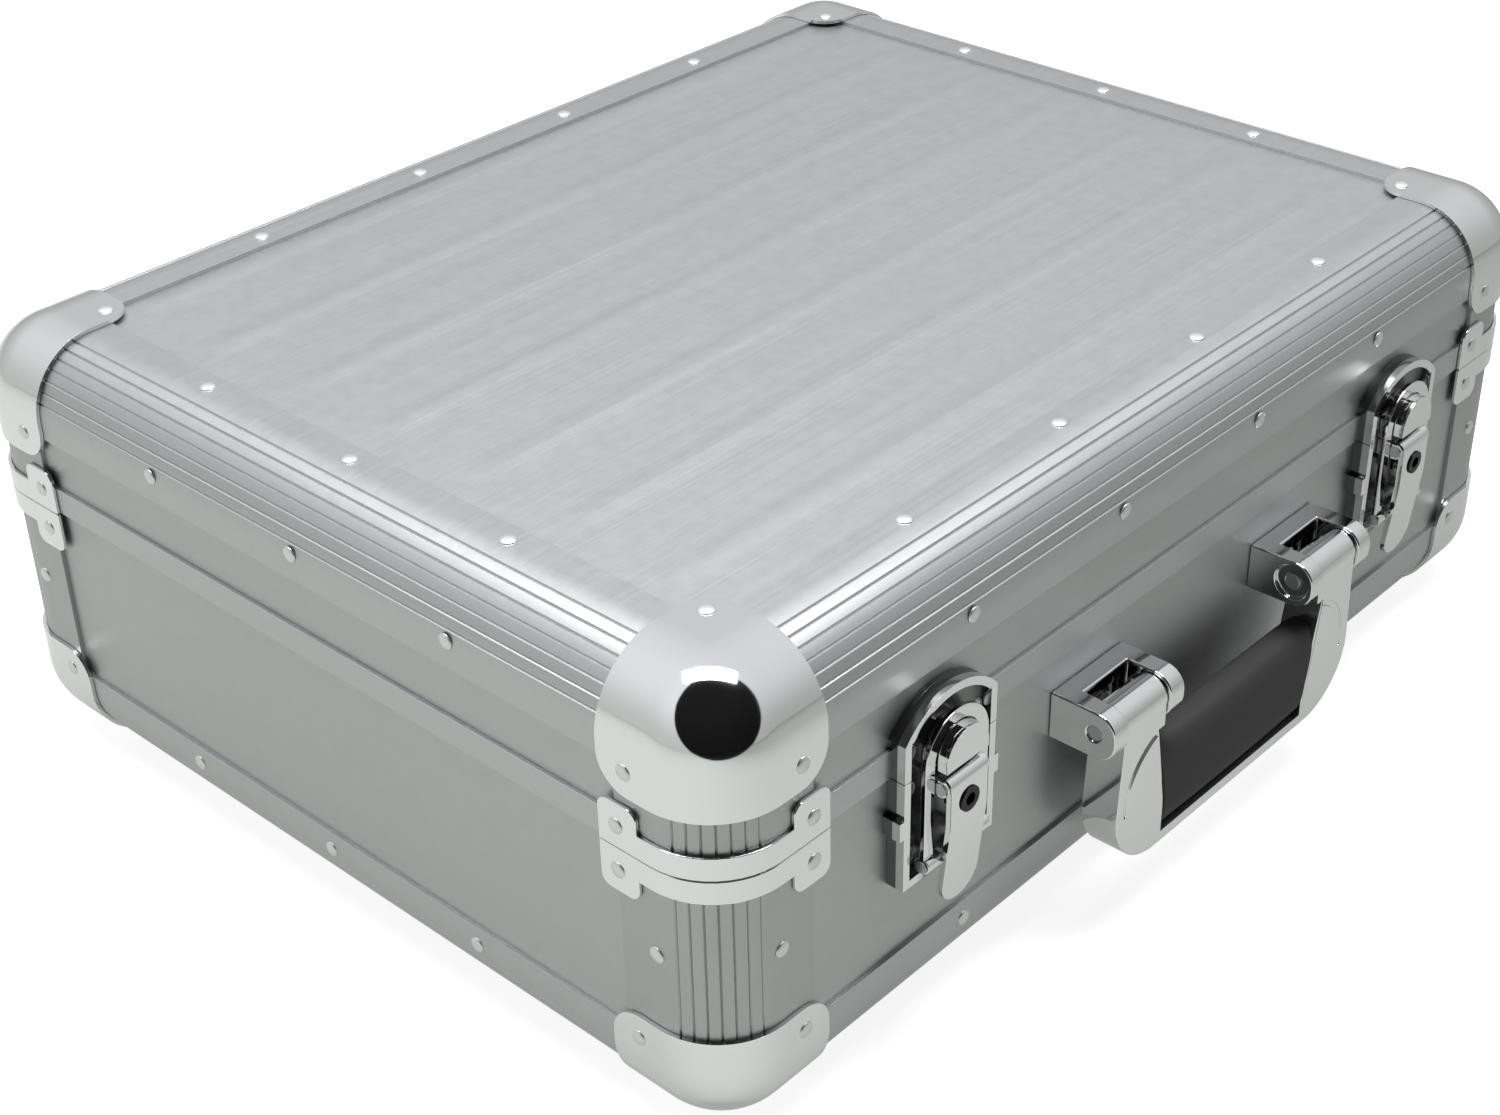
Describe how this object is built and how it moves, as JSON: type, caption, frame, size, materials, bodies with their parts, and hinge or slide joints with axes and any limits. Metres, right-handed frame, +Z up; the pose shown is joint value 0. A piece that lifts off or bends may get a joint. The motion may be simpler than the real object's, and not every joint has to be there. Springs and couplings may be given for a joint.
{
  "type": "cd storage case",
  "caption": "Aluminium-clad case with ball corners, hinged lid, draw latches, swinging handle and row dividers for discs.",
  "frame": {"origin": "centre of the bounding box on the ground plane that the rubber feet stand on", "axes": "+X along the case, +Y towards the hinges at the rear, so the latches and handle face -Y, +Z up"},
  "size_m": [0.475, 0.4068, 0.175],
  "materials": {
    "extrusion": "satin",
    "skin": "satin",
    "board": "matte",
    "corner_steel": "polished",
    "rivet_metal": "satin",
    "fitting_steel": "polished",
    "pin_steel": "satin",
    "hinge_steel": "satin",
    "grip_rubber": "matte",
    "foot_rubber": "matte",
    "foam": "matte",
    "divider_board": "matte"
  },
  "bodies": {
    "base": {"base_ball_corners": "corner_steel", "base_bottom_board": "board", "base_bottom_skin": "skin", "base_closing_bars": "extrusion", "base_corner_braces": "corner_steel", "base_corner_extrusions": "extrusion", "base_edge_extrusions": "extrusion", "base_floor_pad": "foam", "base_latch_plates": "fitting_steel", "base_latch_rivets": "rivet_metal", "base_rivets": "rivet_metal", "base_side_boards": "board", "base_side_skins": "skin", "base_wall_linings": "foam", "feet": "foot_rubber", "divider_runners": "divider_board", "row_dividers": "divider_board", "latch_lever_pins": "pin_steel", "handle_pedestals": "fitting_steel", "handle_pins": "pin_steel", "hinge_base_leaves": "hinge_steel", "hinge_pins": "pin_steel", "hinge_base_rivets": "rivet_metal"},
    "lid": {"lid_ball_corners": "corner_steel", "lid_closing_bars": "extrusion", "lid_corner_braces": "corner_steel", "lid_corner_extrusions": "extrusion", "lid_edge_extrusions": "extrusion", "lid_foam_pad": "foam", "lid_latch_plates": "fitting_steel", "lid_latch_rivets": "rivet_metal", "lid_rivets": "rivet_metal", "lid_side_boards": "board", "lid_side_skins": "skin", "lid_top_board": "board", "lid_top_skin": "skin", "lid_wall_linings": "foam", "hinge_lid_leaves": "hinge_steel", "hinge_lid_rivets": "rivet_metal"},
    "handle": {"handle_frame": "fitting_steel", "handle_grip": "grip_rubber"},
    "lever_left": {"latch_lever_left": "fitting_steel", "bail_pin_left": "pin_steel"},
    "bail_left": {"latch_bail_left": "fitting_steel"},
    "lock_left": {"lock_plug_left": "pin_steel"},
    "lever_right": {"latch_lever_right": "fitting_steel", "bail_pin_right": "pin_steel"},
    "bail_right": {"latch_bail_right": "fitting_steel"},
    "lock_right": {"lock_plug_right": "pin_steel"}
  },
  "joints": [
    {"name": "lid_hinge", "type": "hinge", "parent": "base", "child": "lid", "pos_m": [0, 0.19878, 0.1095], "axis": [-1, 0, 0], "range_deg": [0, 95]},
    {"name": "handle_swing", "type": "hinge", "parent": "base", "child": "handle", "pos_m": [0.0055, -0.19482, 0.087], "axis": [-1, 0, 0], "range_deg": [0, 90]},
    {"name": "lever_left_lift", "type": "hinge", "parent": "base", "child": "lever_left", "pos_m": [-0.136, -0.18792, 0.103], "axis": [-1, 0, 0], "range_deg": [0, 110]},
    {"name": "bail_left_tilt", "type": "hinge", "parent": "lever_left", "child": "bail_left", "pos_m": [-0.136, -0.18542, 0.0745], "axis": [1, 0, 0], "range_deg": [0, 110]},
    {"name": "lock_left_turn", "type": "hinge", "parent": "lever_left", "child": "lock_left", "pos_m": [-0.136, -0.19142, 0.0955], "axis": [0, -1, 0], "range_deg": [0, 90]},
    {"name": "lever_right_lift", "type": "hinge", "parent": "base", "child": "lever_right", "pos_m": [0.136, -0.18792, 0.103], "axis": [-1, 0, 0], "range_deg": [0, 110]},
    {"name": "bail_right_tilt", "type": "hinge", "parent": "lever_right", "child": "bail_right", "pos_m": [0.136, -0.18542, 0.0745], "axis": [1, 0, 0], "range_deg": [0, 110]},
    {"name": "lock_right_turn", "type": "hinge", "parent": "lever_right", "child": "lock_right", "pos_m": [0.136, -0.19142, 0.0955], "axis": [0, -1, 0], "range_deg": [0, 90]}
  ],
  "couplings": [
    {"joint": "bail_left_tilt", "follows": "lever_left_lift", "ratio": 1},
    {"joint": "bail_right_tilt", "follows": "lever_right_lift", "ratio": 1}
  ]
}
